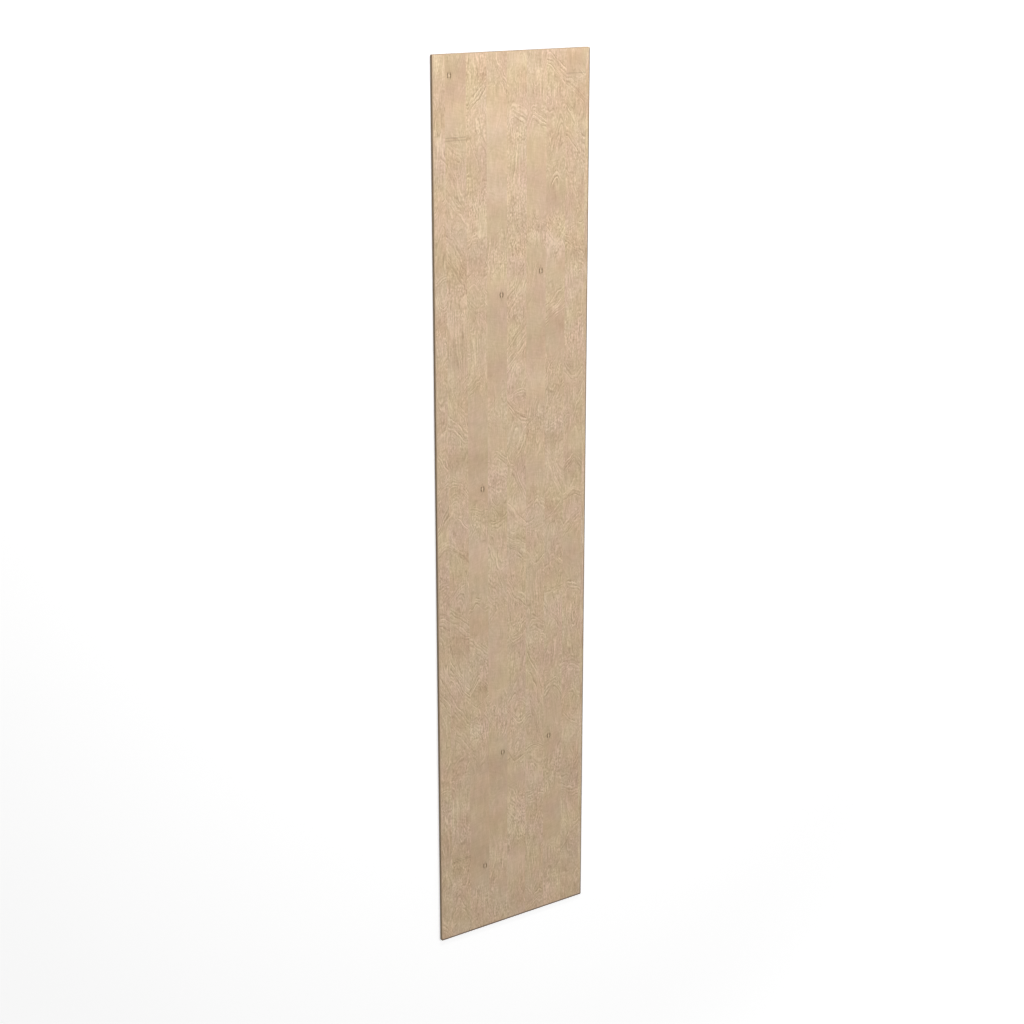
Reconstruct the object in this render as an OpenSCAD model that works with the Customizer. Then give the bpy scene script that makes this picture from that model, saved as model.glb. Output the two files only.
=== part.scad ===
// Plywood sheet: a long strip of birch plywood, sawn square and sanded on its arrises.
// It lies flat on its back face. X runs across the face grain, Y along it and Z up through the plies.
// The origin is at the middle of the back face.

/* [Sheet] */
// Width across the face grain
sheet_w = 305; // [100:5:1525]
// Length along the face grain
sheet_l = 1525; // [300:5:3050]
// Thickness through all the plies, after sanding
sheet_t = 6.5; // [4:0.5:30]

/* [Edges] */
// Radius sanded onto the arrises between the faces and the sawn edges
arris_r = 1.2; // [0.4:0.1:1.9]
// Radius sanded onto the four upright corners
corner_r = 2; // [2:0.1:10]

/* [Hidden] */
birch = [0.80, 0.70, 0.58];
// The plain middle of the sheet, inside the sanded border
middle_w = sheet_w - 2 * corner_r;
middle_l = sheet_l - 2 * corner_r;
$fn = 64;

// What sanding takes off a square arris at the origin, whose wood lies towards -X and -Y
module sanded_off() {
    translate([-arris_r, -arris_r])
        difference() {
            square(2 * arris_r);
            circle(arris_r);
        }
}

// Section of the border, from the middle of the sheet at 0 outwards to the sawn edge
module border_section() {
    difference() {
        square([corner_r, sheet_t]);
        translate([corner_r, sheet_t])
            sanded_off();
        translate([corner_r, 0])
            mirror([0, 1])
                sanded_off();
    }
}

// Straight border along one edge, facing +X
module straight_border(run) {
    rotate([90, 0, 0])
        linear_extrude(run, center = true)
            border_section();
}

// Border around one corner, facing +X and +Y
module corner_border() {
    rotate_extrude(angle = 90)
        border_section();
}

module plywood_sheet() {
    color(birch) {
        translate([-middle_w / 2, -middle_l / 2, 0])
            cube([middle_w, middle_l, sheet_t]);
        for (turn = [0, 180])
            rotate(turn) {
                translate([middle_w / 2, 0, 0])
                    straight_border(middle_l);
                translate([0, middle_l / 2, 0])
                    rotate(90)
                        straight_border(middle_w);
                translate([middle_w / 2, middle_l / 2, 0])
                    corner_border();
                translate([-middle_w / 2, middle_l / 2, 0])
                    rotate(90)
                        corner_border();
            }
    }
}

plywood_sheet();
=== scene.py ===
import math

import bpy
import numpy as np
from mathutils import Matrix, Vector


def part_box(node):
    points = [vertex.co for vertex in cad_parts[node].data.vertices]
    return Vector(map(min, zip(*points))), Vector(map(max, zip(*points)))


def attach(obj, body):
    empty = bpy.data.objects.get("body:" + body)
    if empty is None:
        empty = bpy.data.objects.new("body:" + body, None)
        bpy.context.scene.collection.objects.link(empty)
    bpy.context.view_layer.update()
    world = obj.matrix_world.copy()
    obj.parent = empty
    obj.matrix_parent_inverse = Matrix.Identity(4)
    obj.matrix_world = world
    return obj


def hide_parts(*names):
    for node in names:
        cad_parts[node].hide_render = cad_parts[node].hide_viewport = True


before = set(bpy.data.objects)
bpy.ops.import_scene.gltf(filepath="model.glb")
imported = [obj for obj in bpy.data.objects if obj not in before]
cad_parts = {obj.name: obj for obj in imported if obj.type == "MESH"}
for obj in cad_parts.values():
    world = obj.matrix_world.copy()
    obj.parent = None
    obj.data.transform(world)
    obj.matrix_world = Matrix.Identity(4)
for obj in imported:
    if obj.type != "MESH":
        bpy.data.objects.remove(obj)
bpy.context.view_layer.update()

# Sheet, in metres: X across the grain, Y along it, Z up through the plies to the show face
MM = 0.001
LOW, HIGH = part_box("plywood_sheet")
WIDTH, LENGTH, THICKNESS = HIGH - LOW
HALF_W = WIDTH / 2
HALF_L = LENGTH / 2
ARRIS = 1.2 * MM
CORNER = 2 * MM
PLIES = 5
PLY = THICKNESS / PLIES

# Show veneer: leaves of one width, laid side by side and trimmed at both edges of the sheet, the spacing
# of their ring lines, and how strongly the lines show away from the flames
FIRST_SEAM = 0.075 * WIDTH
LEAF = 0.128 * WIDTH
RING = 5.2 * MM
WAVY_GRAIN = 0.60
STRAIGHT_GRAIN = 0.8
# Radius of a flame's crown, and how far its legs run up or down before they fade, in mm
CROWN_ROUND = 2.8
FLAME_LEGS = 45.0

# Figure of each leaf, from the left edge to the right. A flame is a group of ring lines that cross the
# leaf: its middle, in mm from the upper end, its crown's place across the leaf (0 and 1 are the
# seams), how far it reaches up and down, in mm, how steeply its lines fall away to the left and to
# the right of the crown, and how strongly it shows. A line that rises has a slope below 0.
FLAMES = [
    [
        (232, 0.8, 14, 1.0, -1.0, 1.0), (352, 0.7, 9, 0.6, -0.6, 1.0), (432, 0.7, 8, 0.5, -0.5, 0.7),
        (490, 0.7, 10, 1.1, -1.1, 0.9), (655, 0.7, 9, -1.5, 1.5, 0.7), (697, 0.7, 9, 0.8, -0.8, 0.8),
        (752, 0.75, 14, 1.3, -1.3, 1.0), (797, 0.95, 10, 0.7, 0.7, 1.1), (868, 0.7, 12, 0.3, 0.3, 0.6),
        (932, 0.7, 22, -0.9, 0.9, 1.0), (1060, 0.7, 34, -1.4, 1.4, 1.0), (1238, 0.7, 8, 0.4, 0.4, 0.6),
        (1508, 0.7, 9, -1.2, 1.2, 0.8),
    ],
    [
        (193, 0.37, 16, -2.3, 2.3, 1.2), (165, 0.75, 12, -1.0, 1.0, 0.6), (229, 0.25, 12, -1.2, 1.2, 1.0),
        (320, 0.5, 36, -1.5, 1.5, 0.7), (540, 0.1, 18, -4.0, 4.0, 0.8), (578, 0.75, 12, -2.0, 2.0, 0.7),
        (610, 0.65, 15, -0.85, 0.85, 1.4), (690, 0.3, 10, 0.3, 1.0, 1.0), (718, 0.3, 12, 0.6, 0.9, 0.7),
        (742, 0.2, 10, 1.0, 1.2, 1.1), (798, 0.05, 10, 0.5, 0.9, 1.1), (832, 0.55, 14, -3.0, 3.0, 0.9),
        (874, 0.6, 8, 0.9, -0.9, 0.8), (905, 0.8, 14, 3.0, -3.0, 0.7), (942, 0.5, 22, -0.75, 0.75, 0.9),
        (1000, 0.2, 16, -2.6, 2.6, 1.0), (1045, 0.5, 22, -1.4, 1.4, 1.2), (1125, 0.5, 45, -1.3, 1.3, 0.6),
        (1221, 0.8, 6, 0.3, 0.3, 0.8), (1450, 0.4, 24, 2.0, 2.0, 0.5),
    ],
    [
        (76, 0.45, 18, 1.3, -1.3, 1.1), (132, 0.15, 14, 1.5, 3.0, 0.8), (196, 0.15, 12, 1.5, 2.5, 0.9),
        (292, 0.5, 9, 0.8, 2.5, 1.1), (354, 0.35, 14, 0.8, 1.6, 0.9), (392, 0.2, 8, -1.0, 1.0, 0.8),
        (412, 0.4, 8, -1.2, -1.2, 0.7), (522, 0.72, 12, 0.8, 2.2, 1.3), (750, 0.6, 10, -0.2, 0.2, 0.6),
        (775, 0.5, 14, 1.5, 1.5, 0.5), (910, 0.5, 12, 0.6, 0.9, 1.3), (994, 0.5, 14, -0.8, 0.8, 1.0),
        (1049, 0.45, 10, 1.8, 1.2, 1.3), (1100, 0.35, 7, -1.0, -0.8, 0.9), (1140, 0.75, 16, -4.0, 4.0, 0.8),
        (1195, 0.75, 14, 2.0, -2.0, 0.7),
    ],
    [
        (18, 0.5, 17, -2.0, 2.0, 1.3), (48, 0.3, 8, 0.8, -0.8, 0.6), (565, 0.4, 9, 1.0, -1.0, 0.7),
        (600, 0.85, 20, 4.0, 1.0, 0.8), (656, 0.33, 10, 2.5, 0.7, 1.1), (690, 0.75, 10, -0.8, 0.8, 0.6),
        (720, 0.5, 9, -1.2, -0.8, 1.0), (780, 0.5, 8, -0.8, -1.0, 0.9), (835, 0.3, 16, -2.8, 2.8, 1.1),
        (905, 0.75, 14, -1.2, 1.2, 1.0),
    ],
    [
        (92, 0.24, 14, 3.0, 0.62, 1.6), (372, 0.6, 26, 1.7, -1.7, 0.9), (460, 0.35, 12, 1.1, -1.1, 1.2),
        (488, 0.5, 15, 1.1, -1.0, 1.3), (530, 0.1, 12, 1.8, -1.8, 1.2), (555, 0.6, 9, 0.6, 0.4, 1.0),
        (584, 0.4, 12, -0.9, 0.9, 1.4), (618, 0.3, 14, 3.0, -3.0, 1.0), (620, 0.95, 12, 2.0, 1.0, 1.0),
        (664, 0.5, 16, 1.8, -1.8, 0.9), (715, 0.75, 14, -1.6, 1.6, 1.0), (780, 0.7, 12, -1.2, 1.2, 1.1),
        (812, 0.6, 12, -0.6, 0.6, 0.9), (832, 0.5, 9, -0.9, 0.9, 1.1), (912, 0.55, 14, -1.0, 1.0, 1.4),
        (985, 0.3, 18, -2.5, -0.75, 1.4), (1094, 0.4, 10, 1.5, 1.0, 0.8), (1150, 0.6, 13, -1.7, -0.5, 1.0),
        (1216, 0.4, 10, -1.8, -0.6, 0.9), (1320, 0.9, 36, -1.6, -1.2, 0.8), (1370, 1.0, 22, -1.6, -1.6, 0.8),
        (1500, 0.9, 16, -3.0, 3.0, 0.7),
    ],
    [
        (98, 0.3, 14, 3.0, 0.72, 1.6), (605, 0.5, 12, 1.2, 1.2, 0.7), (656, 0.75, 14, 3.0, -3.0, 1.0),
        (745, 0.55, 10, 1.2, 1.0, 1.2), (799, 0.6, 7, 0.1, -0.1, 0.9), (822, 0.2, 10, 2.2, -2.2, 0.7),
        (862, 0.45, 10, -1.8, -0.8, 0.9), (966, 0.32, 16, 2.5, 0.85, 1.5), (1060, 0.45, 30, -3.0, 3.0, 1.1),
        (1092, 0.9, 8, -1.2, 0.2, 1.0), (1160, 0.7, 22, -3.0, 3.0, 0.9), (1200, 0.3, 9, 0.1, 0.3, 0.9),
        (1288, 0.4, 9, 0.3, 0.3, 0.8), (1362, 0.5, 24, 3.0, -3.0, 0.9), (1492, 0.8, 12, 1.2, 1.2, 1.0),
        (1508, 0.8, 8, -1.2, -1.2, 0.9),
    ],
    [
        (30, 0.6, 14, -0.9, 0.9, 1.3), (112, 0.8, 16, 2.5, 4.0, 1.0), (150, 0.2, 10, 5.0, -5.0, 0.7),
        (198, 0.55, 8, 1.6, 1.6, 1.4), (312, 0.5, 10, -1.3, -1.3, 1.0), (388, 0.5, 8, 3.0, -3.0, 0.6),
        (408, 0.35, 10, 0.9, -0.9, 0.8), (427, 0.5, 12, 0.85, -0.7, 1.5), (523, 0.2, 10, 1.4, -1.4, 1.2),
        (574, 0.5, 9, 1.3, -1.3, 1.3), (612, 0.6, 10, 0.8, 0.8, 0.5), (693, 0.6, 11, -1.2, 1.2, 0.8),
        (718, 0.6, 14, -2.5, 2.5, 1.0), (776, 0.6, 12, 0.8, -0.8, 1.1), (808, 0.68, 12, -4.0, 4.0, 0.9),
        (859, 0.45, 8, 0.8, 0.8, 1.2), (917, 0.3, 6, 0.15, -0.15, 0.8), (966, 0.5, 12, -1.3, 1.3, 0.7),
        (1086, 0.67, 14, 0.75, 2.0, 1.5),
    ],
    [
        (52, 0.6, 7, -0.4, -0.4, 0.8), (71, 0.6, 9, -0.7, 0.7, 1.0), (90, 0.2, 12, -2.5, 2.5, 1.3),
        (122, 0.45, 14, -1.6, 1.6, 1.3), (146, 0.3, 11, -1.2, 1.2, 1.1), (262, 0.85, 10, -2.2, 2.2, 1.2),
        (287, 0.5, 7, 0.2, -0.2, 1.0), (314, 0.3, 9, -0.7, 0.7, 0.9), (545, 0.5, 14, -1.2, -1.2, 0.8),
        (603, 0.6, 16, 2.3, -2.3, 1.2), (635, 0.25, 12, 5.0, -5.0, 0.9), (686, 0.55, 9, 0.9, 0.9, 1.4),
        (745, 0.55, 8, 0.4, 0.4, 1.2), (795, 0.6, 14, 0.9, -0.9, 1.2), (813, 0.4, 8, -0.8, -0.8, 1.0),
        (912, 0.3, 10, 2.0, 1.0, 1.3), (1058, 0.5, 14, 0.8, 0.8, 1.2), (1075, 0.5, 9, -0.8, -0.8, 1.0),
        (1108, 0.5, 9, 1.0, 1.0, 1.4), (1160, 0.15, 8, 1.0, 1.0, 0.9), (1258, 0.85, 14, 2.2, -2.2, 1.0),
        (1305, 0.45, 10, -0.5, 0.5, 1.3), (1395, 0.5, 12, 1.2, -1.2, 1.0),
    ],
    [],
]
# Stretches with ring lines straight along the leaf: start and end, in mm from the upper end, and the
# part of the leaf's width that they take
STRAIGHT = [
    [(1280, 1400, 0.4, 1.0)],
    [(400, 520, 0.0, 1.0), (1250, 1345, 0.0, 1.0)],
    [(440, 506, 0.1, 1.0), (215, 262, 0.7, 1.0), (1440, 1500, 0.0, 1.0)],
    [(575, 640, 0.6, 1.0), (1105, 1145, 0.0, 0.5), (1375, 1455, 0.3, 1.0)],
    [(25, 72, 0.6, 1.0), (135, 215, 0.1, 0.9), (940, 964, 0.75, 1.0), (1017, 1062, 0.6, 1.0)],
    [
        (35, 80, 0.6, 0.9), (118, 140, 0.6, 1.0), (872, 945, 0.0, 1.0), (1308, 1332, 0.1, 0.6),
        (1395, 1475, 0.1, 0.6),
    ],
    [(205, 250, 0.0, 0.2), (1108, 1130, 0.0, 0.4), (1400, 1442, 0.0, 0.5)],
    [(170, 250, 0.5, 1.0), (340, 450, 0.0, 0.5), (1325, 1360, 0.0, 0.3)],
    [(0, 1525, 0.0, 1.0)],
]
# Smooth stretches: start and end, in mm from the upper end, and how much paler than the rest, or darker
# below 0
PLAIN = [
    [],
    [(0, 47, -0.13), (47, 128, -0.05)],
    [(555, 735, -0.05), (800, 895, 0.0), (922, 965, -0.06), (1205, 1440, -0.06)],
    [
        (66, 298, 0.03), (360, 555, -0.06), (612, 648, 0.03), (950, 1103, 0.03), (1163, 1368, -0.05),
        (1456, 1478, -0.03),
    ],
    [(0, 22, 0.02), (1230, 1285, 0.05), (1386, 1440, 0.05)],
    [(140, 255, 0.02), (310, 345, -0.07), (368, 515, -0.05), (515, 585, 0.02), (680, 735, 0.05)],
    [
        (207, 255, -0.03), (325, 375, 0.05), (440, 512, -0.02), (1132, 1176, -0.03), (1196, 1230, -0.05),
        (1295, 1400, -0.02),
    ],
    [(0, 38, -0.13), (642, 675, -0.02), (822, 885, 0.0)],
    [],
]
# Stretches full of short dark and pale dashes: start and end, in mm from the upper end
SPECKLED = [
    [(440, 475), (835, 885), (1250, 1300)],
    [(350, 400), (1305, 1345), (1385, 1440)],
    [(0, 55), (100, 120), (205, 250), (762, 795), (1010, 1042), (1110, 1170), (1440, 1500)],
    [(300, 355), (685, 715), (1105, 1160), (1480, 1525)],
    [(112, 135), (215, 340), (400, 445), (930, 965), (1125, 1145), (1290, 1385)],
    [(255, 308), (595, 635), (985, 1017), (1275, 1300), (1340, 1380)],
    [(50, 90), (255, 300), (520, 548), (590, 640), (925, 955), (1232, 1295), (1460, 1500)],
    [(170, 200), (320, 345), (460, 500), (940, 1010)],
    [],
]
# Where two lengths of a leaf meet end to end, with one line or two: the leaf, the distance from the
# upper end and half the gap between the lines, in mm
BUTTS = [(1, 131.2, 2.2), (7, 40, 0), (1, 1378, 1.6)]
# Pin knots: place across the sheet in widths, and distance from the upper end in mm
PIN_KNOTS = [
    (0.102, 33), (0.682, 356), (0.424, 388), (0.296, 711), (0.752, 1190), (0.428, 1197), (0.302, 1405),
]
KNOT_ACROSS = 3.6 * MM
KNOT_ALONG = 6.0 * MM

# Steps by which the ring count jumps from flame to flame and from leaf to leaf, so that no two are alike
FLAME_SHIFT = 3.7
LEAF_SHIFT = 17.37
# Seeds of the random swings, to which each leaf adds its number, and of the leaves' tones
BROAD_FLAME, FINE_FLAME = 10, 30
BROAD_WAVES, FINE_WAVES = 50, 70
STRAIGHT_LINES = 90
RAGGED_ENDS = 110
LEAF_TONES = 5

# Mesh of the sheet
CELLS_ACROSS_LEAF = 20
ROW_PITCH = 3.3 * MM
CORNER_CELLS = 2
ARRIS_STEPS = 4
GLUE_STEP = 0.05 * MM
BACK_INSET = 0.6 * (CORNER - ARRIS)
CROSS_PLY_RECESS = 0.06 * MM
RING_RELIEF = 0.06 * MM
KNOT_RELIEF = 0.12 * MM
SHOW, EDGE, BACK = range(3)

# Map for baked colours, in pixels. The show face lies in two halves side by side, with the two ends
# above them, and the back and the two long edges lie to the right. A pair of numbers is two left
# sides, a width and a height, or a left side and a width.
MAP_SIZE = 1024
MAP_HALVES = (8, 394)
MAP_HALF = (378, 952)
MAP_HALF_FOOT = 8
MAP_ENDS = 972
MAP_BACK = (784, 203)
MAP_LENGTH = 1020
MAP_FOOT = 2
MAP_EDGES = (991, 1007)
MAP_EDGE = 12

# Finishes: linear colours, shades from dark to pale, gloss and depth of the finest relief
BIRCH_DARK = (0.436, 0.297, 0.181)
BIRCH = (0.590, 0.430, 0.281)
BIRCH_PALE = (0.770, 0.597, 0.416)
BIRCH_SHADES = ((0.0, BIRCH_DARK), (0.5, BIRCH), (1.0, BIRCH_PALE))
ROSE_TINT = (1.005, 0.966, 0.992)
STRAW_TINT = (0.995, 1.034, 1.008)
GOLD_TINT = (1.0, 1.0, 0.945)
GREY_TINT = (1.0, 1.0, 1.055)
JOINT_LINE = (0.26, 0.17, 0.10)
KNOT_BARK = (0.160, 0.102, 0.040)
# Dark brown of the show face's border and of the arrises: painted shade at the lower end, a plain dark line
# elsewhere
EDGE_DARK_AND_SHADE = (0.135, 0.090, 0.057)
SAWN_SHADES = ((0.0, (0.27, 0.185, 0.110)), (0.5, (0.50, 0.385, 0.255)), (1.0, (0.64, 0.51, 0.355)))
GLUE = (0.10, 0.058, 0.034)
SANDED_GLOSS = 0.35
SHOW_GRAIN_DEPTH = 0.07 * MM
ROUGH_GRAIN_DEPTH = 0.10 * MM

# Studio: a floor that glows white away from the sheet, and a room that is brighter below than above
FLOOR_REACH = 30.0
FLOOR_GAP = 0.3 * MM
FLOOR_PAINT = (0.78, 0.78, 0.78, 1)
GLOW_FROM, GLOW_TO = 1.0, 2.5
GLOW_NEAR, GLOW_FAR = 0.45, 0.86
ROOM_BELOW, ROOM_ABOVE = 0.75, 0.22
WHITE = (1, 1, 1, 1)

# Viewpoint and aim of the photograph, in sheet widths from the lower left corner of the show face
VIEWPOINT = Vector((-5.5534, 5.7343, 8.6408))
AIM = Vector((0.4920, 2.5042, 0))
LENS = 70


class Recipe:
    """Adds linked nodes to one node tree, of a material or of Geometry Nodes."""

    def __init__(self, tree):
        self.tree = tree

    def feed(self, socket, value):
        if isinstance(value, bpy.types.NodeSocket):
            self.tree.links.new(value, socket)
        else:
            socket.default_value = value

    def add(self, kind, inputs=None, **settings):
        """New node. inputs gives its sockets, by name or number, a value or another node's output."""
        node = self.tree.nodes.new(kind)
        for name, value in settings.items():
            setattr(node, name, value)
        for socket, value in (inputs or {}).items():
            self.feed(node.inputs[socket], value)
        return node

    def math(self, operation, *values):
        return self.add("ShaderNodeMath", dict(enumerate(values)), operation=operation).outputs[0]

    def total(self, first, *more):
        for term in more:
            first = self.math("ADD", first, term)
        return first

    def times(self, first, *more):
        for factor in more:
            first = self.math("MULTIPLY", first, factor)
        return first

    def weigh(self, *terms, base=0.0):
        """Base, and added to it each term times its weight."""
        level = base
        for term, weight in terms:
            level = self.math("MULTIPLY_ADD", term, weight, level)
        return level

    def stored(self, name, output="Fac"):
        """What the mesh stores under a name, for a material."""
        return self.add("ShaderNodeAttribute", attribute_name=name).outputs[output]

    def object_place(self):
        return self.add("ShaderNodeTexCoord").outputs["Object"]

    def place(self, x, y, z=0.0):
        return self.add("ShaderNodeCombineXYZ", {0: x, 1: y, 2: z}).outputs[0]

    def parts(self, vector):
        return self.add("ShaderNodeSeparateXYZ", {0: vector}).outputs

    def length(self, vector):
        return self.add("ShaderNodeVectorMath", {0: vector}, operation="LENGTH").outputs["Value"]

    def stretch(self, place, x, y, z=1.0):
        """Coordinates in which one unit is x, y and z long."""
        scale = (1 / x, 1 / y, 1 / z)
        return self.add("ShaderNodeVectorMath", {0: place, 1: scale}, operation="MULTIPLY").outputs[0]

    def noise(self, place, x, y, z=1.0, detail=2.0):
        """Noise about 0, with a grain x, y and z long."""
        inputs = {"Vector": self.stretch(place, x, y, z), "Scale": 1.0, "Detail": detail}
        return self.math("SUBTRACT", self.add("ShaderNodeTexNoise", inputs).outputs[0], 0.5)

    def line_noise(self, number):
        """Noise about 0 along a single number, with a grain one unit long."""
        node = self.add("ShaderNodeTexNoise", {"W": number, "Scale": 1.0}, noise_dimensions="1D")
        return self.math("SUBTRACT", node.outputs[0], 0.5)

    def fade(self, value, start, end, low=0.0, high=1.0):
        """Goes smoothly from low to high as the value goes from start to end."""
        inputs = {"Value": value, "From Min": start, "From Max": end, "To Min": low, "To Max": high}
        return self.add("ShaderNodeMapRange", inputs, interpolation_type="SMOOTHSTEP").outputs[0]

    def ramp(self, value, *stops):
        """Colour or grey level between stops of position and colour."""
        node = self.add("ShaderNodeValToRGB", {0: value})
        elements = node.color_ramp.elements
        for number, (position, colour) in enumerate(stops):
            element = elements[number] if number < len(elements) else elements.new(position)
            element.position = position
            element.color = (*colour, 1) if isinstance(colour, tuple) else (colour, colour, colour, 1)
        return node.outputs[0]

    def blend(self, share, first, second):
        """Colour that goes from first to second as share goes from 0 to 1."""
        node = self.add("ShaderNodeMix", {0: share}, data_type="RGBA")
        for socket, colour in zip(node.inputs[6:8], (first, second)):
            self.feed(socket, (*colour, 1) if isinstance(colour, tuple) else colour)
        return node.outputs[2]

    def tinted(self, colour, tint):
        """Colour multiplied by a tint."""
        inputs = {0: 1.0, 6: colour, 7: tint}
        return self.add("ShaderNodeMix", inputs, data_type="RGBA", blend_type="MULTIPLY").outputs[2]


def wander(across, along, width, length, seed):
    """Smooth random swing about 0, with bumps about that wide and long."""
    waves = 16
    turns_per_bump = 0.35
    draw = np.random.default_rng(seed)
    swing = 0
    for _ in range(waves):
        turns = draw.normal() * across / width + draw.normal() * along / length
        swing = swing + np.sin(2 * math.pi * (turns * turns_per_bump + draw.random()))
    return swing / math.sqrt(waves / 2)


def within(at, start, end, soft):
    """1 between two places and 0 beyond them, with a soft step at each."""
    return np.clip(np.minimum(at - start, end - at) / soft + 0.5, 0, 1)


def leaf_edge(leaf):
    """X of a leaf's left seam, also where the sheet's edge trims it off."""
    return -HALF_W + FIRST_SEAM + (leaf - 1) * LEAF


def from_upper_end(y):
    """Distance from the upper end, in mm."""
    return (HALF_L - y) / MM


def y_at(from_end):
    """Y at a distance from the upper end, in mm."""
    return HALF_L - from_end * MM


def wavy_grain(leaf, x, y):
    """Ring lines that wander about between the flames."""
    lines = 0.5 * (x - leaf_edge(leaf)) / RING
    lines = lines + 1.6 * wander(x, y, 26 * MM, 80 * MM, BROAD_WAVES + leaf)
    return lines + 0.8 * wander(x, y, 12 * MM, 34 * MM, FINE_WAVES + leaf)


def straight_grain(leaf, x, y):
    """Ring lines along a leaf, and how strongly they show at each point."""
    from_end = from_upper_end(y)
    across = (x - leaf_edge(leaf)) / LEAF
    lines = across * LEAF / RING + 0.9 * wander(x, y, 25 * MM, 130 * MM, STRAIGHT_LINES + leaf)
    strength = np.zeros(x.shape)
    for start, end, left, right in STRAIGHT[leaf]:
        shown = within(from_end, start, end, 24) * within(across, left, right, 0.15)
        strength = np.maximum(strength, STRAIGHT_GRAIN * shown)
    return lines, strength


def flame_lines(leaf, flame, x, y):
    """Ring lines of one flame of a leaf, and how strongly they show at each point."""
    middle, across, reach, left, right, power = flame
    from_crown = (x - leaf_edge(leaf)) / MM - across * LEAF / MM
    lean = (right - left) / 2
    bend = (right + left) / 2
    drop = lean * from_crown + bend * (np.hypot(from_crown, CROWN_ROUND) - CROWN_ROUND)
    along = from_upper_end(y) - middle - drop
    spacing = RING / MM * math.hypot(1, min(abs(left), abs(right)))
    lines = along / spacing + 0.35 * wander(x, y, 30 * MM, 60 * MM, BROAD_FLAME + leaf)
    lines = lines + 0.22 * wander(x, y, 11 * MM, 15 * MM, FINE_FLAME + leaf)
    in_reach = np.clip(2.7 - 2 * np.abs(along) / reach, 0, 1)
    on_legs = np.clip(2 - np.abs(drop) / FLAME_LEGS, 0, 1)
    return lines, (0.38 + 0.56 * power) * (in_reach * on_legs)


def leaf_figure(leaf, x, y):
    """Ring lines of a leaf at the corners of its cells, and how strongly they show.

    Each cell follows the flame or straight stretch that is strongest there, or else the wavy grain.
    """
    rings = wavy_grain(leaf, x, y)
    strength = np.full(x.shape, WAVY_GRAIN)
    strongest = strength.mean(axis=2)
    groups = [straight_grain(leaf, x, y)]
    groups.extend(flame_lines(leaf, flame, x, y) for flame in FLAMES[leaf])
    for number, (lines, shown) in enumerate(groups, start=1):
        won = shown.mean(axis=2) > strongest
        strongest = np.maximum(strongest, shown.mean(axis=2))
        rings[won] = lines[won] + FLAME_SHIFT * number
        strength[won] = shown[won]
    return rings + LEAF_SHIFT * leaf, strength


def leaf_surface(leaf, x, y):
    """How lively a leaf is, from 0 where it is smooth to 1 where it is speckled, and how pale."""
    ragged = 9 * wander(x, y, 14 * MM, 60 * MM, RAGGED_ENDS + leaf)
    from_end = from_upper_end(y) + ragged
    lively = np.full(y.shape, 0.5)
    for start, end in SPECKLED[leaf]:
        lively = lively + 0.5 * within(from_end, start, end, 40)
    paler = np.zeros(y.shape)
    for start, end, tone in PLAIN[leaf]:
        inside = within(from_end, start, end, 30)
        lively = lively * (1 - 0.82 * inside)
        paler = paler + tone * inside
    return np.clip(lively, 0, 1), paler


def grid_lines():
    """X of the columns and Y of the rows of the show face, with columns along the seams."""
    corner_x, corner_y = HALF_W - CORNER, HALF_L - CORNER
    seams = [leaf_edge(leaf) for leaf in range(1, len(FLAMES))]
    columns = [-corner_x]
    for seam in [*seams, corner_x]:
        cells = max(1, round((seam - columns[-1]) / (LEAF / CELLS_ACROSS_LEAF)))
        columns.extend(np.linspace(columns[-1], seam, cells + 1)[1:])
    rows = np.linspace(-corner_y, corner_y, round(2 * corner_y / ROW_PITCH) + 1)
    for _, from_end, _ in BUTTS:
        butt_y = y_at(from_end)
        rows[np.argmin(np.abs(rows - butt_y))] = butt_y
    rounding = np.linspace(0, CORNER - ARRIS, CORNER_CELLS + 1)[1:]

    def bordered(lines, half):
        return np.concatenate([-half - rounding[::-1], lines, half + rounding])

    return bordered(np.array(columns), corner_x), bordered(rows, corner_y)


def round_corners(x, y):
    """Moves the corner blocks of the grid into quarter discs."""
    flat = CORNER - ARRIS
    over_x = np.maximum(np.abs(x) - (HALF_W - CORNER), 0) / flat
    over_y = np.maximum(np.abs(y) - (HALF_L - CORNER), 0) / flat
    reach = np.maximum(over_x, over_y)
    least = np.minimum(over_x, over_y)
    turn = np.pi / 4 * least / np.maximum(reach, 1e-9)
    turn = np.where(over_y > over_x, np.pi / 2 - turn, turn)
    corner = (over_x > 0) & (over_y > 0)
    new_x = np.sign(x) * (HALF_W - CORNER + flat * reach * np.cos(turn))
    new_y = np.sign(y) * (HALF_L - CORNER + flat * reach * np.sin(turn))
    return np.where(corner, new_x, x), np.where(corner, new_y, y)


def edge_section():
    """Points of the edge from the show face to the back: how far out, and the height."""
    turns = np.linspace(0, np.pi / 2, ARRIS_STEPS + 1)
    section = [(ARRIS * math.sin(a), THICKNESS - ARRIS + ARRIS * math.cos(a)) for a in turns[1:]]
    for glue in range(PLIES - 1, 0, -1):
        above, below = (0, -CROSS_PLY_RECESS) if glue % 2 == 0 else (-CROSS_PLY_RECESS, 0)
        section.append((ARRIS + above, glue * PLY + GLUE_STEP))
        section.append((ARRIS + below, glue * PLY - GLUE_STEP))
    section.extend((ARRIS * math.sin(a), ARRIS - ARRIS * math.cos(a)) for a in turns[::-1])
    section.append((-BACK_INSET, 0))
    return section


def edge_rings(x, y):
    """Points of the edge, ring by ring, from the show face's border round to the back."""
    middle_x = np.clip(x, CORNER - HALF_W, HALF_W - CORNER)
    middle_y = np.clip(y, CORNER - HALF_L, HALF_L - CORNER)
    out_x, out_y = x - middle_x, y - middle_y
    flat = np.hypot(out_x, out_y)
    out_x, out_y = out_x / flat, out_y / flat
    rings = []
    for out, z in edge_section():
        step = CORNER - ARRIS + out
        height = np.full(len(x), z)
        rings.append(np.column_stack([middle_x + step * out_x, middle_y + step * out_y, height]))
    return rings


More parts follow.
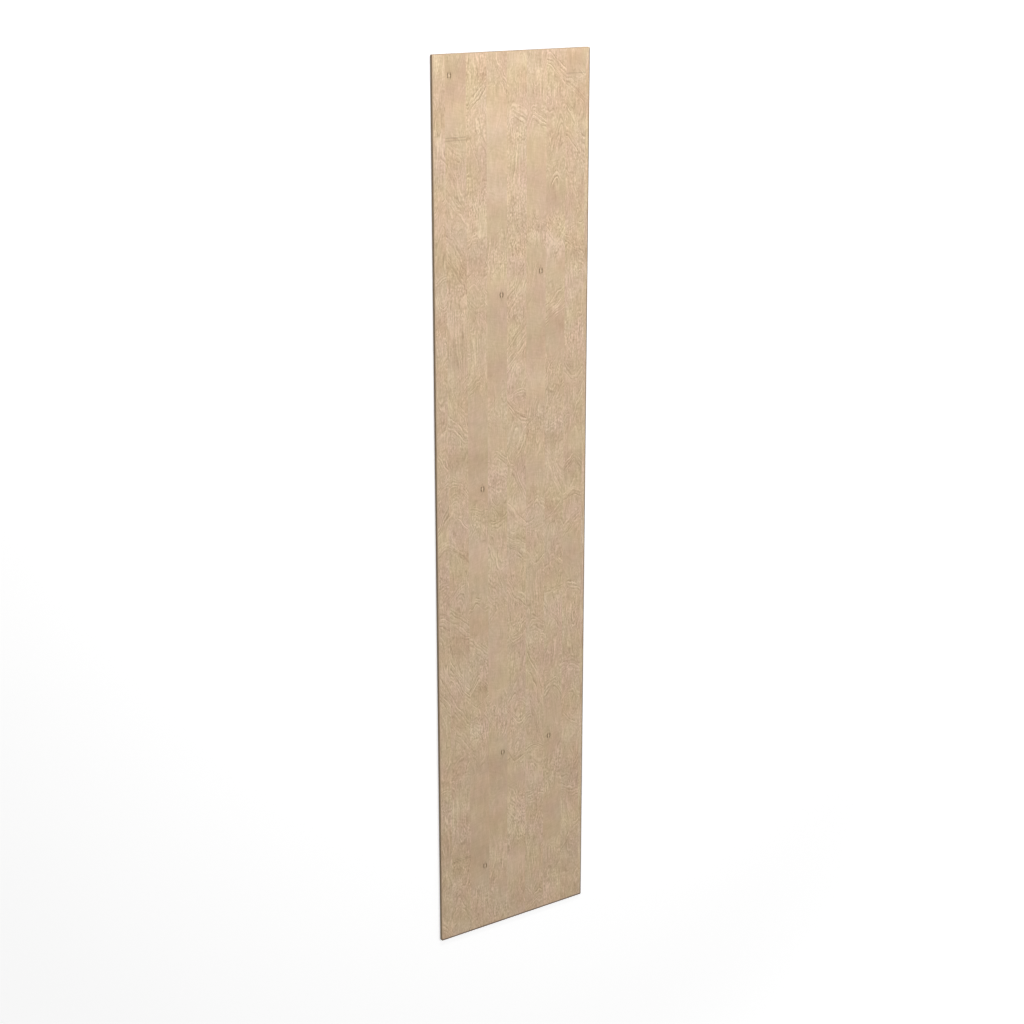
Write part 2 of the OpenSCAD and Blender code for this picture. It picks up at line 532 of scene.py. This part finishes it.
def back_faces(border, nx, ny):
    """Faces of the back: rungs from its left side to its right side, and one face at each end."""
    lower_end = border[:nx]
    right = border[nx - 1:nx + ny - 1]
    upper_end = border[nx + ny - 2:2 * nx + ny - 2][::-1]
    left = np.concatenate([border[2 * nx + ny - 3:], border[:1]])[::-1]
    rungs = np.stack([left[1:-2], left[2:-1], right[2:-1], right[1:-2]], axis=1)
    lower_face = [left[1], right[1], *lower_end[::-1]]
    upper_face = [*upper_end, right[-2], left[-2]]
    return [*rungs.tolist(), lower_face, upper_face]


def sheet_mesh():
    """The sheet as one closed mesh. Its show face also carries what the veneer's finish follows."""
    columns, rows = grid_lines()
    nx, ny = len(columns), len(rows)
    x, y = round_corners(*np.meshgrid(columns, rows))
    points = [np.column_stack([x.ravel(), y.ravel(), np.full(x.size, THICKNESS)])]
    number = np.arange(nx * ny).reshape(ny, nx)
    cells = np.stack([number[:-1, :-1], number[:-1, 1:], number[1:, 1:], number[1:, :-1]], axis=2)
    faces = cells.reshape(-1, 4).tolist()
    show_faces = len(faces)

    border = np.concatenate([number[0, :-1], number[:-1, -1], number[-1, :0:-1], number[:0:-1, 0]])
    upper = border
    for ring in edge_rings(x.ravel()[border], y.ravel()[border]):
        lower = np.arange(len(border)) + sum(map(len, points))
        points.append(ring)
        band = np.stack([upper, lower, np.roll(lower, -1), np.roll(upper, -1)], axis=1)
        faces.extend(band.tolist())
        upper = lower
    edge_faces = len(faces) - show_faces - len(border)
    faces.extend(back_faces(upper, nx, ny))

    mesh = bpy.data.meshes.new("birch_sheet")
    mesh.from_pydata(np.concatenate(points).tolist(), [], [list(map(int, face)) for face in faces])
    mesh.polygons.foreach_set("use_smooth", np.ones(len(faces), dtype=bool))
    surface = np.full(len(faces), BACK, dtype=np.int32)
    surface[:show_faces] = SHOW
    surface[show_faces:show_faces + edge_faces] = EDGE
    mesh.attributes.new("surface", "INT", "FACE").data.foreach_set("value", surface)
    inside = np.zeros(len(mesh.vertices), dtype=np.float32)
    inside[number[1:-1, 1:-1].ravel()] = 1
    mesh.attributes.new("inside", "FLOAT", "POINT").data.foreach_set("value", inside)
    mark_veneer(mesh, columns, x.ravel()[cells], y.ravel()[cells])
    lay_out_map(mesh, nx, ny, show_faces, edge_faces)
    mesh.update()
    return mesh


def lay_out_map(mesh, nx, ny, show_faces, edge_faces):
    """Lays the sheet's faces out on the map for baked colours."""
    vertex = np.empty(len(mesh.loops), dtype=np.int32)
    mesh.loops.foreach_get("vertex_index", vertex)
    places = np.empty(3 * len(mesh.vertices), dtype=np.float32)
    mesh.vertices.foreach_get("co", places)
    x, y, _ = places.reshape(-1, 3)[vertex].T
    across = x / WIDTH + 0.5
    along = y / LENGTH + 0.5
    right = MAP_BACK[0] + MAP_BACK[1] * across
    up = MAP_FOOT + MAP_LENGTH * along

    show = slice(0, 4 * show_faces)
    upper_half = np.repeat(along[show].reshape(-1, 4).mean(axis=1) > 0.5, 4)
    right[show] = np.where(upper_half, MAP_HALVES[1], MAP_HALVES[0]) + MAP_HALF[0] * across[show]
    up[show] = MAP_HALF_FOOT + MAP_HALF[1] * (2 * along[show] - upper_half)

    edge = slice(4 * show_faces, 4 * (show_faces + edge_faces))
    around = 2 * (nx + ny - 2)
    face = np.arange(edge_faces)
    turns = [nx - 1, nx + ny - 2, 2 * nx + ny - 3]
    side = np.repeat(np.searchsorted(turns, face % around, side="right"), 4)
    section = np.array([(0, THICKNESS), *edge_section()[:-1]])
    depth = np.concatenate([[0], np.cumsum(np.hypot(*np.diff(section, axis=0).T))])
    band = face // around
    down = (depth / depth[-1])[np.stack([band, band + 1, band + 1, band], axis=1)].ravel()
    on_end = side % 2 == 0
    end_start = np.where(side == 0, MAP_HALVES[0], MAP_HALVES[1])
    edge_start = np.where(side == 1, MAP_EDGES[1], MAP_EDGES[0])
    right[edge] = np.where(on_end, end_start + MAP_HALF[0] * across[edge], edge_start + MAP_EDGE * down)
    up[edge] = np.where(on_end, MAP_ENDS + MAP_EDGE * down, up[edge])
    layout = np.stack([right, up], axis=1) / MAP_SIZE
    mesh.uv_layers.new(name="OFBake").data.foreach_set("uv", layout.ravel().astype(np.float32))


def mark_veneer(mesh, columns, x, y):
    """Stores on the show face's corners what its finish follows: leaf, figure, tone, knots and butts."""
    middles = (columns[:-1] + columns[1:]) / 2
    leaf_of_column = np.floor((middles - leaf_edge(0)) / LEAF).astype(int)
    leaf_place = np.zeros(x.shape + (3,))
    rings = np.zeros(x.shape)
    figure = np.zeros(x.shape)
    lively = np.zeros(x.shape)
    tone = np.zeros(x.shape)
    to_butt = np.ones(x.shape)
    draw = np.random.default_rng(LEAF_TONES)
    for leaf in range(len(FLAMES)):
        own = leaf_of_column == leaf
        leaf_x, leaf_y = x[:, own], y[:, own]
        turned = 1 if leaf % 2 else -1
        from_middle = turned * (leaf_x - leaf_edge(leaf) - LEAF / 2)
        leaf_place[:, own, :, :2] = np.stack([from_middle, leaf_y + 2 * LENGTH * leaf], axis=3)
        leaf_rings, leaf_strength = leaf_figure(leaf, leaf_x, leaf_y)
        leaf_lively, paler = leaf_surface(leaf, leaf_x, leaf_y)
        rings[:, own] = leaf_rings
        figure[:, own] = leaf_strength * np.minimum(1, 0.15 + 2 * leaf_lively)
        lively[:, own] = leaf_lively
        tone[:, own] = draw.normal(0, 0.025) + paler
        for butt_leaf, from_end, half_gap in BUTTS:
            if butt_leaf == leaf:
                gap = np.abs(leaf_y - y_at(from_end)) - half_gap * MM
                to_butt[:, own] = np.minimum(gap, to_butt[:, own])
    cell_x, cell_y = x.mean(axis=2), y.mean(axis=2)
    to_knot = np.ones(x.shape + (3,))
    nearest = np.full(cell_x.shape, np.inf)
    for across, from_end in PIN_KNOTS:
        knot_x = -HALF_W + across * WIDTH
        knot_y = y_at(from_end)
        gap = np.hypot(cell_x - knot_x, cell_y - knot_y)
        near = gap < nearest
        nearest[near] = gap[near]
        to_knot[near] = np.stack([x - knot_x, y - knot_y, np.zeros(x.shape)], axis=3)[near]

    corners = len(mesh.loops)

    def store(name, kind, field, values, width=1):
        every = np.zeros(corners * width, dtype=np.float32)
        every[:values.size] = values.ravel()
        mesh.attributes.new(name, kind, "CORNER").data.foreach_set(field, every)

    store("leaf", "FLOAT_VECTOR", "vector", leaf_place, 3)
    store("rings", "FLOAT", "value", rings)
    store("figure", "FLOAT", "value", figure)
    store("lively", "FLOAT", "value", lively)
    store("tone", "FLOAT", "value", tone)
    store("to_butt", "FLOAT", "value", to_butt)
    store("to_knot", "FLOAT_VECTOR", "vector", to_knot, 3)


def veneer_relief(finishes):
    """Geometry Nodes that sink the pin knots and the soft wood between ring lines, and set the finishes."""
    tree = bpy.data.node_groups.new("veneer_relief", "GeometryNodeTree")
    sockets = tree.interface
    sockets.new_socket("Sheet", in_out="INPUT", socket_type="NodeSocketGeometry")
    for name in ("Ring depth", "Knot depth"):
        sockets.new_socket(name, in_out="INPUT", socket_type="NodeSocketFloat")
    sockets.new_socket("Sheet", in_out="OUTPUT", socket_type="NodeSocketGeometry")
    recipe = Recipe(tree)
    given = recipe.add("NodeGroupInput").outputs

    def stored(name, kind="FLOAT"):
        node = recipe.add("GeometryNodeInputNamedAttribute", {"Name": name}, data_type=kind)
        return node.outputs["Attribute"]

    wave = recipe.math("COSINE", recipe.times(stored("rings"), math.pi))
    soft_wood = recipe.weigh((wave, 0.5), base=0.5)
    ring_sink = recipe.times(soft_wood, stored("figure"), given["Ring depth"])
    knot_place = recipe.stretch(stored("to_knot", "FLOAT_VECTOR"), KNOT_ACROSS, KNOT_ALONG)
    knot_sink = recipe.times(recipe.fade(recipe.length(knot_place), 1.6, 0.5), given["Knot depth"])
    sink = recipe.times(recipe.total(ring_sink, knot_sink), stored("inside"), -1)
    offset = recipe.add("ShaderNodeCombineXYZ", {"Z": sink}).outputs[0]
    sunk = recipe.add("GeometryNodeSetPosition", {"Geometry": given["Sheet"], "Offset": offset})
    shape = recipe.add("GeometryNodeRealizeInstances", {0: sunk.outputs[0]}).outputs[0]
    for surface, finish in finishes.items():
        here = recipe.add("FunctionNodeCompare", data_type="INT", operation="EQUAL")
        a, b = [socket for socket in here.inputs if socket.enabled][:2]
        recipe.feed(a, stored("surface", "INT"))
        recipe.feed(b, surface)
        inputs = {"Geometry": shape, "Selection": here.outputs[0], "Material": finish}
        shape = recipe.add("GeometryNodeSetMaterial", inputs).outputs[0]
    recipe.add("NodeGroupOutput", {0: shape})
    return tree


def new_finish(name):
    """Material with a Principled shader, and the recipe to feed it."""
    material = bpy.data.materials.new(name)
    material.use_nodes = True
    recipe = Recipe(material.node_tree)
    shader = material.node_tree.nodes["Principled BSDF"]
    shader.inputs["Specular IOR Level"].default_value = SANDED_GLOSS
    return material, recipe, shader


def dress(recipe, shader, colour, roughness, height, depth):
    """Feeds a shader its colour, its roughness and its finest relief, a height of 1 being depth metres."""
    recipe.feed(shader.inputs["Base Color"], colour)
    recipe.feed(shader.inputs["Roughness"], roughness)
    bump = recipe.add("ShaderNodeBump", {"Height": height, "Strength": 1.0, "Distance": depth})
    recipe.feed(shader.inputs["Normal"], bump.outputs[0])


def ring_lines_with_painted_emboss(recipe, leaf, phase, figure):
    """Ring lines, with painted shade on one side and a painted highlight on the other, as if lit in relief.
    Some rings are faint, and lines break off.
    """
    ring_number = recipe.times(recipe.math("FLOOR", phase), 0.73)
    strength = recipe.fade(recipe.line_noise(ring_number), -0.16, 0.18, 0.30, 1.75)
    patchy = recipe.fade(recipe.noise(leaf, 12 * MM, 30 * MM), -0.16, 0.16, 0.15, 1.15)
    # Painted shade at 0.32 and a painted highlight at 0.68 of each ring
    stops = ((0.10, 0.50), (0.32, 0.10), (0.50, 0.50), (0.68, 0.90), (0.90, 0.50))
    line = recipe.math("SUBTRACT", recipe.ramp(recipe.math("FRACT", phase), *stops), 0.5)
    return recipe.times(line, figure, patchy, strength)


def dark_border_and_shade(recipe):
    """Where the show face is painted dark: along the lower end, as painted shade, and along the right edge.
    """
    x, y, _ = recipe.parts(recipe.object_place())
    lower_end = recipe.fade(y, ARRIS - HALF_L + 2.1 * MM, ARRIS - HALF_L + 1.3 * MM)
    right_edge = recipe.fade(x, HALF_W - ARRIS - 1.5 * MM, HALF_W - ARRIS - 0.7 * MM)
    return recipe.math("MAXIMUM", lower_end, recipe.times(right_edge, 0.85))


def pin_knots(recipe, leaf, colour):
    """The veneer's colour with its pin knots, and how much of their bark shows."""
    knot_place = recipe.stretch(recipe.stored("to_knot", "Vector"), KNOT_ACROSS, KNOT_ALONG)
    knot_x, knot_y, _ = recipe.parts(knot_place)
    knot_reach = recipe.length(knot_place)
    rough_edge = recipe.noise(leaf, 2 * MM, 2 * MM)
    reach = recipe.weigh((rough_edge, 0.8), base=knot_reach)
    aside = recipe.math("DIVIDE", recipe.math("ABSOLUTE", knot_x), recipe.total(knot_reach, 0.05))
    oval = recipe.times(
        recipe.fade(reach, 1.30, 0.85), recipe.fade(reach, 0.25, 0.60), recipe.fade(aside, 0.25, 0.80, 0.10)
    )
    crack_x = recipe.math("ABSOLUTE", recipe.weigh((rough_edge, 0.5), base=knot_x))
    crack_y = recipe.math("ABSOLUTE", knot_y)
    crack = recipe.times(
        recipe.fade(crack_x, 0.30, 0.10), recipe.fade(crack_y, 2.1, 1.2), recipe.fade(reach, 0.5, 0.8)
    )
    bark = recipe.math("MAXIMUM", recipe.times(oval, 0.85), recipe.times(crack, 0.20))
    colour = recipe.blend(recipe.fade(reach, 4.0, 1.0, 0.0, 0.06), colour, BIRCH_DARK)
    colour = recipe.blend(recipe.fade(reach, 0.62, 0.25, 0.0, 0.7), colour, BIRCH_PALE)
    return recipe.blend(bark, colour, KNOT_BARK), bark


def show_veneer():
    """Sanded birch veneer in figured leaves, with pin knots and butted ends."""
    material, recipe, shader = new_finish("birch_show_veneer")
    leaf = recipe.stored("leaf", "Vector")
    leaf_x, leaf_y, _ = recipe.parts(leaf)
    figure = recipe.stored("figure")
    lively = recipe.stored("lively")
    broad_jitter = recipe.noise(leaf, 9 * MM, 24 * MM)
    fine_jitter = recipe.noise(leaf, 2.6 * MM, 5 * MM)
    phase = recipe.weigh((broad_jitter, 0.65), (fine_jitter, 0.42), base=recipe.stored("rings"))
    lines = ring_lines_with_painted_emboss(recipe, leaf, phase, figure)

    in_flame = recipe.fade(figure, WAVY_GRAIN, 0.95)
    flame_tone = recipe.times(recipe.line_noise(recipe.times(phase, 0.42)), in_flame)
    along_rings = recipe.place(phase, leaf_x, leaf_y)
    strokes = recipe.times(recipe.noise(along_rings, 1 / 3.4, 14 * MM, 38 * MM, detail=1), figure)
    mottle = recipe.noise(leaf, 8 * MM, 24 * MM, detail=3)
    fibre = recipe.times(recipe.noise(leaf, 1.4 * MM, 24 * MM), recipe.weigh((lively, 1.1), base=0.18))
    pores = recipe.noise(leaf, 0.4 * MM, 9 * MM)
    sloping = recipe.place(leaf_x, recipe.weigh((leaf_x, 0.22), base=leaf_y))
    curl = recipe.noise(sloping, 14 * MM, 2.8 * MM, detail=1)
    speckled = recipe.fade(recipe.noise(leaf, 14 * MM, 26 * MM), -0.2, 0.2, 0.3, 1.0)
    speckle = recipe.times(recipe.noise(leaf, 1.9 * MM, 4.6 * MM, detail=1), lively, speckled)
    fleck = recipe.fade(recipe.noise(leaf, 1.0 * MM, 5 * MM), 0.10, 0.24)
    leaf_tone = recipe.noise(leaf, 400 * MM, 80 * MM)
    across_leaf = recipe.math("ABSOLUTE", leaf_x)
    seam_glow = recipe.fade(across_leaf, LEAF / 2 - 5 * MM, LEAF / 2 - 1 * MM)
    shade = recipe.weigh(
        (lines, 0.76),
        (strokes, 1.05),
        (flame_tone, 0.55),
        (mottle, 0.45),
        (fibre, 1.30),
        (pores, 0.45),
        (curl, 0.30),
        (speckle, 2.4),
        (fleck, -0.06),
        (leaf_tone, 0.85),
        (seam_glow, 0.022),
        base=recipe.total(recipe.stored("tone"), 0.505),
    )
    colour = recipe.ramp(shade, *BIRCH_SHADES)
    rosy = recipe.fade(recipe.noise(leaf, 34 * MM, 60 * MM, detail=1), 0.22, -0.22)
    golden = recipe.fade(recipe.noise(leaf, 80 * MM, 70 * MM), -0.22, 0.22)
    colour = recipe.tinted(colour, recipe.blend(rosy, STRAW_TINT, ROSE_TINT))
    colour = recipe.tinted(colour, recipe.blend(golden, GREY_TINT, GOLD_TINT))

    seam = recipe.fade(across_leaf, LEAF / 2 - 0.7 * MM, LEAF / 2 - 0.2 * MM)
    open_seam = recipe.times(seam, recipe.fade(recipe.noise(leaf, 50 * MM, 9 * MM), 0.04, 0.24))
    butt = recipe.fade(recipe.math("ABSOLUTE", recipe.stored("to_butt")), 1.3 * MM, 0.5 * MM)
    joint = recipe.math("MAXIMUM", recipe.times(open_seam, 0.22), recipe.times(butt, 0.32))
    colour = recipe.blend(joint, colour, JOINT_LINE)
    # Painted shade along the lower end, and a dark line along the right edge
    colour = recipe.blend(dark_border_and_shade(recipe), colour, EDGE_DARK_AND_SHADE)
    colour, bark = pin_knots(recipe, leaf, colour)
    roughness = recipe.weigh((fibre, 0.25), (lines, 0.3), base=0.52)
    height = recipe.weigh(
        (lines, 0.8), (fibre, 0.45), (fleck, -0.35), (joint, -0.8), (bark, -0.8), (curl, 0.25)
    )
    dress(recipe, shader, colour, roughness, height, SHOW_GRAIN_DEPTH)
    return material


def back_veneer():
    """Rotary-cut birch: one wide veneer, with flowing ring lines and no leaves."""
    material, recipe, shader = new_finish("birch_back_veneer")
    place = recipe.object_place()
    field = recipe.noise(place, 90 * MM, 520 * MM, 90 * MM)
    jitter = recipe.noise(place, 3 * MM, 26 * MM, 3 * MM)
    ring = recipe.math("FRACT", recipe.weigh((field, 16), (jitter, 0.25)))
    stops = ((0.0, 0.6), (0.3, 0.54), (0.8, 0.42), (0.92, 0.28), (1.0, 0.6))
    lines = recipe.math("SUBTRACT", recipe.ramp(ring, *stops), 0.5)
    mottle = recipe.noise(place, 12 * MM, 50 * MM, 12 * MM, detail=3)
    fibre = recipe.noise(place, 0.7 * MM, 24 * MM, 0.7 * MM)
    fleck = recipe.fade(recipe.noise(place, 1.0 * MM, 5 * MM, 1.0 * MM), 0.10, 0.24)
    shade = recipe.weigh((lines, 0.5), (mottle, 0.4), (fibre, 0.3), (fleck, -0.08), base=0.5)
    colour = recipe.ramp(shade, *BIRCH_SHADES)
    roughness = recipe.weigh((fibre, 0.25), base=0.55)
    height = recipe.weigh((lines, 0.8), (fibre, 0.45), (fleck, -0.35))
    dress(recipe, shader, colour, roughness, height, ROUGH_GRAIN_DEPTH)
    return material


def sawn_edge():
    """Sawn and sanded edge: long grain and end grain by turns, between dark glue lines.

    Its arrises are painted pale at the upper end and along the left edge, as painted light, and painted dark
    elsewhere, as painted shade at the lower end.
    """
    material, recipe, shader = new_finish("birch_sawn_edge")
    place = recipe.object_place()
    x, y, z = recipe.parts(place)
    ply = recipe.math("DIVIDE", z, PLY)
    cross_ply = recipe.math("FLOORED_MODULO", recipe.math("FLOOR", ply), 2.0)
    on_end = recipe.math("GREATER_THAN", recipe.math("ABSOLUTE", y), HALF_L - CORNER)
    end_grain = recipe.math("ABSOLUTE", recipe.math("SUBTRACT", cross_ply, on_end))
    long_grain = recipe.math("SUBTRACT", 1.0, end_grain)

    streak = recipe.noise(place, 30 * MM, 30 * MM, 0.35 * MM, detail=3)
    pores = recipe.times(recipe.noise(place, 0.5 * MM, 0.5 * MM, 0.5 * MM), end_grain)
    saw_marks = recipe.noise(place, 1.6 * MM, 1.6 * MM, 40 * MM)
    patch = recipe.noise(place, 45 * MM, 45 * MM, 3 * MM)
    shade = recipe.weigh(
        (recipe.times(streak, long_grain), 0.5),
        (pores, 0.5),
        (saw_marks, 0.25),
        (patch, 0.4),
        (end_grain, -0.34),
        base=0.33,
    )
    colour = recipe.ramp(shade, *SAWN_SHADES)

    to_glue = recipe.math("ABSOLUTE", recipe.math("SUBTRACT", ply, recipe.math("ROUND", ply)))
    from_middle = recipe.math("ABSOLUTE", recipe.math("SUBTRACT", ply, PLIES / 2))
    inner = recipe.math("LESS_THAN", from_middle, PLIES / 2 - 0.5)
    glue = recipe.times(recipe.fade(to_glue, 0.11, 0.05), inner)
    colour = recipe.blend(recipe.times(glue, 0.75), colour, GLUE)

    from_face = recipe.times(recipe.math("SUBTRACT", PLIES / 2, from_middle), PLY)
    arris = recipe.fade(from_face, 1.1 * MM, 0.25 * MM)
    # Arris painted pale like the face at the upper end and along the left edge: painted light
    painted_light_end = recipe.fade(y, HALF_L - 4 * MM, HALF_L - CORNER)
    painted_light_left = recipe.fade(x, 4 * MM - HALF_W, CORNER - HALF_W)
    painted_light_left = recipe.times(painted_light_left, recipe.fade(y, CORNER - HALF_L, 8 * MM - HALF_L))
    painted_light_arris = recipe.math("MAXIMUM", painted_light_end, painted_light_left)
    colour = recipe.blend(recipe.times(arris, painted_light_arris, 0.9), colour, BIRCH)
    # Arris painted dark everywhere else: painted shade at the lower end
    darkening_strength = recipe.weigh((patch, 0.6), base=0.92)
    dark_arris_and_shade = recipe.times(arris, recipe.math("SUBTRACT", 1.0, painted_light_arris), darkening_strength)
    colour = recipe.blend(dark_arris_and_shade, colour, EDGE_DARK_AND_SHADE)

    roughness = recipe.weigh((end_grain, 0.12), (streak, 0.2), base=0.6)
    height = recipe.weigh((saw_marks, 0.6), (pores, 0.5), (glue, -0.4))
    dress(recipe, shader, colour, roughness, height, ROUGH_GRAIN_DEPTH)
    return material


def make_sheet():
    """The sheet with its relief and finishes, in place of the plain solid."""
    sheet = bpy.data.objects.new("birch_sheet", sheet_mesh())
    bpy.context.scene.collection.objects.link(sheet)
    tree = veneer_relief({SHOW: show_veneer(), EDGE: sawn_edge(), BACK: back_veneer()})
    relief = sheet.modifiers.new("veneer_relief", "NODES")
    relief.node_group = tree
    depths = {"Ring depth": RING_RELIEF, "Knot depth": KNOT_RELIEF}
    for item in tree.interface.items_tree:
        if item.in_out == "INPUT" and item.name in depths:
            relief[item.identifier] = depths[item.name]
    evaluated = sheet.evaluated_get(bpy.context.evaluated_depsgraph_get())
    finished = bpy.data.meshes.new_from_object(evaluated)
    sheet.modifiers.remove(relief)
    plain = sheet.data
    sheet.data = finished
    finished.name = "birch_sheet"
    bpy.data.meshes.remove(plain)
    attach(sheet, "root")
    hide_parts("plywood_sheet")


def seen_directly(recipe):
    """1 for what the camera, a reflection or a clear body shows, and 0 for light on the sheet."""
    path = recipe.add("ShaderNodeLightPath").outputs
    shown = recipe.math("MAXIMUM", path["Is Camera Ray"], path["Is Glossy Ray"])
    return recipe.math("MAXIMUM", shown, path["Is Transmission Ray"])


def rectangle(half_x, half_y):
    """Corners of a rectangle on the floor, about the origin."""
    return [(-half_x, -half_y, 0), (half_x, -half_y, 0), (half_x, half_y, 0), (-half_x, half_y, 0)]


def make_floor():
    """Pale studio floor, open where the sheet lies. It shows white and keeps the sheet's shadow."""
    mesh = bpy.data.meshes.new("studio_floor")
    outline = rectangle(FLOOR_REACH, FLOOR_REACH)
    opening = rectangle(HALF_W - ARRIS - FLOOR_GAP, HALF_L - ARRIS - FLOOR_GAP)
    sides = [(side, (side + 1) % 4, (side + 1) % 4 + 4, side + 4) for side in range(4)]
    mesh.from_pydata(outline + opening, [], sides)
    floor = bpy.data.objects.new("studio_floor", mesh)
    bpy.context.scene.collection.objects.link(floor)
    material = bpy.data.materials.new("studio_floor")
    material.use_nodes = True
    recipe = Recipe(material.node_tree)
    material.node_tree.nodes.clear()
    paint = recipe.add("ShaderNodeBsdfDiffuse", {"Color": FLOOR_PAINT}).outputs[0]
    reach = recipe.length(recipe.object_place())
    white = recipe.fade(reach, GLOW_FROM, GLOW_TO, GLOW_NEAR, GLOW_FAR)
    strength = recipe.times(seen_directly(recipe), white)
    glow = recipe.add("ShaderNodeEmission", {"Strength": strength}).outputs[0]
    both = recipe.add("ShaderNodeAddShader", {0: paint, 1: glow}).outputs[0]
    recipe.add("ShaderNodeOutputMaterial", {"Surface": both})
    mesh.materials.append(material)


def softbox(name, place, aim, size, power):
    """Square soft light, turned to a point."""
    light = bpy.data.lights.new(name, "AREA")
    light.size = size
    light.energy = power
    lamp = bpy.data.objects.new(name, light)
    lamp.location = place
    lamp.rotation_euler = (Vector(aim) - Vector(place)).to_track_quat("-Z", "Y").to_euler()
    bpy.context.scene.collection.objects.link(lamp)


def make_light():
    """Soft light from overhead and the right, more of it over the upper end, and a pale room."""
    softbox("overhead_softbox", place=(0.5, -0.13, 2.7), aim=(0.0, -0.13, 0.0), size=2.4, power=43.2)
    softbox("upper_softbox", place=(0.0, 1.6, 1.15), aim=(0.0, 1.5, 0.0), size=0.4, power=17)
    world = bpy.data.worlds.new("studio")
    bpy.context.scene.world = world
    world.use_nodes = True
    recipe = Recipe(world.node_tree)
    world.node_tree.nodes.clear()
    _, _, height = recipe.parts(recipe.add("ShaderNodeTexCoord").outputs["Generated"])
    strength = recipe.fade(height, -0.02, 0.0, ROOM_BELOW, ROOM_ABOVE)
    room = recipe.add("ShaderNodeBackground", {"Color": WHITE, "Strength": strength}).outputs[0]
    white = recipe.add("ShaderNodeBackground", {"Color": WHITE, "Strength": 1.0}).outputs[0]
    mixed = recipe.add("ShaderNodeMixShader", {0: seen_directly(recipe), 1: room, 2: white}).outputs[0]
    recipe.add("ShaderNodeOutputWorld", {"Surface": mixed})


def make_camera():
    """Camera at the photograph's viewpoint, with the sheet's length upright in the picture."""
    corner = Vector((-HALF_W, -HALF_L, THICKNESS))
    place = corner + VIEWPOINT * WIDTH
    forward = (corner + AIM * WIDTH - place).normalized()
    right = forward.cross(Vector((0, 1, 0))).normalized()
    upright = right.cross(forward)
    camera = bpy.data.cameras.new("camera")
    camera.lens = LENS
    viewer = bpy.data.objects.new("camera", camera)
    turn = Matrix((right, upright, -forward)).transposed()
    viewer.matrix_world = Matrix.Translation(place) @ turn.to_4x4()
    bpy.context.scene.collection.objects.link(viewer)
    bpy.context.scene.camera = viewer


make_camera()
make_sheet()
make_floor()
make_light()
bpy.context.scene.view_settings.view_transform = "Standard"
